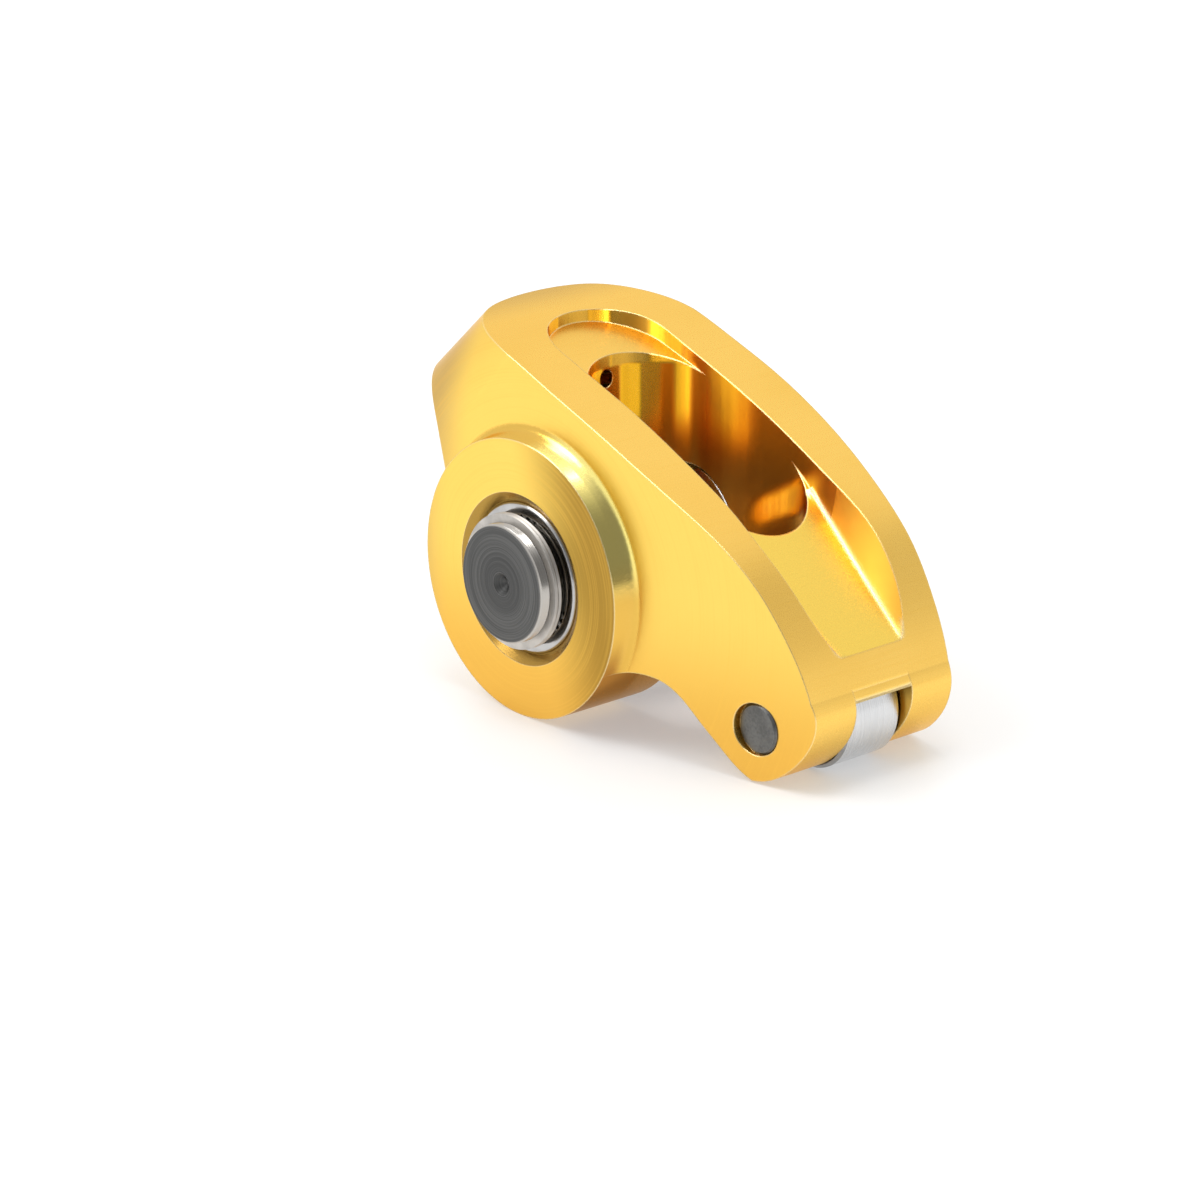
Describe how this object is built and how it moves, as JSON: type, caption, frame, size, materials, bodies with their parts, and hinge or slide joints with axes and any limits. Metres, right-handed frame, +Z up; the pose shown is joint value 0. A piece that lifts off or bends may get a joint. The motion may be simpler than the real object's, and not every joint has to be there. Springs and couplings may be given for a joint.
{
  "type": "rocker arm",
  "caption": "Aluminium roller rocker arm for a stud mounted valve train, with a needle bearing trunnion, a slotted body, a pushrod seat and a forked nose that holds a steel tip roller.",
  "frame": {"origin": "centre of the trunnion, where its axis meets the axis of its stud hole", "axes": "+X towards the roller nose, +Y along the trunnion axis, +Z up with the arm lying on its boss and its tip roller"},
  "size_m": [0.074, 0.0442, 0.0466],
  "materials": {
    "anodised_aluminium": "satin gold anodised, machined",
    "dark_steel": "dark hardened, turned",
    "bearing_steel": "bright drawn steel",
    "ring_steel": "spring steel",
    "roller_steel": "ground bright",
    "black_oxide_steel": "black oxide"
  },
  "bodies": {
    "arm": {"body": "anodised_aluminium", "bearing_cup_near": "bearing_steel", "bearing_cup_far": "bearing_steel", "pushrod_seat": "dark_steel", "tip_axle": "black_oxide_steel"},
    "pivot": {"trunnion": "dark_steel", "retaining_ring_near": "ring_steel", "retaining_ring_far": "ring_steel"},
    "needle_set_near": {"needles_near": "bearing_steel"},
    "needle_set_far": {"needles_far": "bearing_steel"},
    "roller": {"tip_roller": "roller_steel"}
  },
  "joints": [
    {"name": "trunnion_swing", "type": "hinge", "parent": "arm", "child": "pivot", "pos_m": [0, 0, 0], "axis": [0, 1, 0], "range_deg": [-9, 9]},
    {"name": "needle_orbit_near", "type": "hinge", "parent": "arm", "child": "needle_set_near", "pos_m": [0, 0, 0], "axis": [0, 1, 0], "range_deg": [-4.5, 4.5]},
    {"name": "needle_orbit_far", "type": "hinge", "parent": "arm", "child": "needle_set_far", "pos_m": [0, 0, 0], "axis": [0, 1, 0], "range_deg": [-4.5, 4.5]},
    {"name": "tip_roller_spin", "type": "hinge", "parent": "arm", "child": "roller", "pos_m": [0.036, 0, -0.0108], "axis": [0, 1, 0], "continuous": true}
  ],
  "couplings": [
    {"joint": "needle_orbit_near", "follows": "trunnion_swing", "ratio": 0.4593},
    {"joint": "needle_orbit_far", "follows": "trunnion_swing", "ratio": 0.4593}
  ]
}
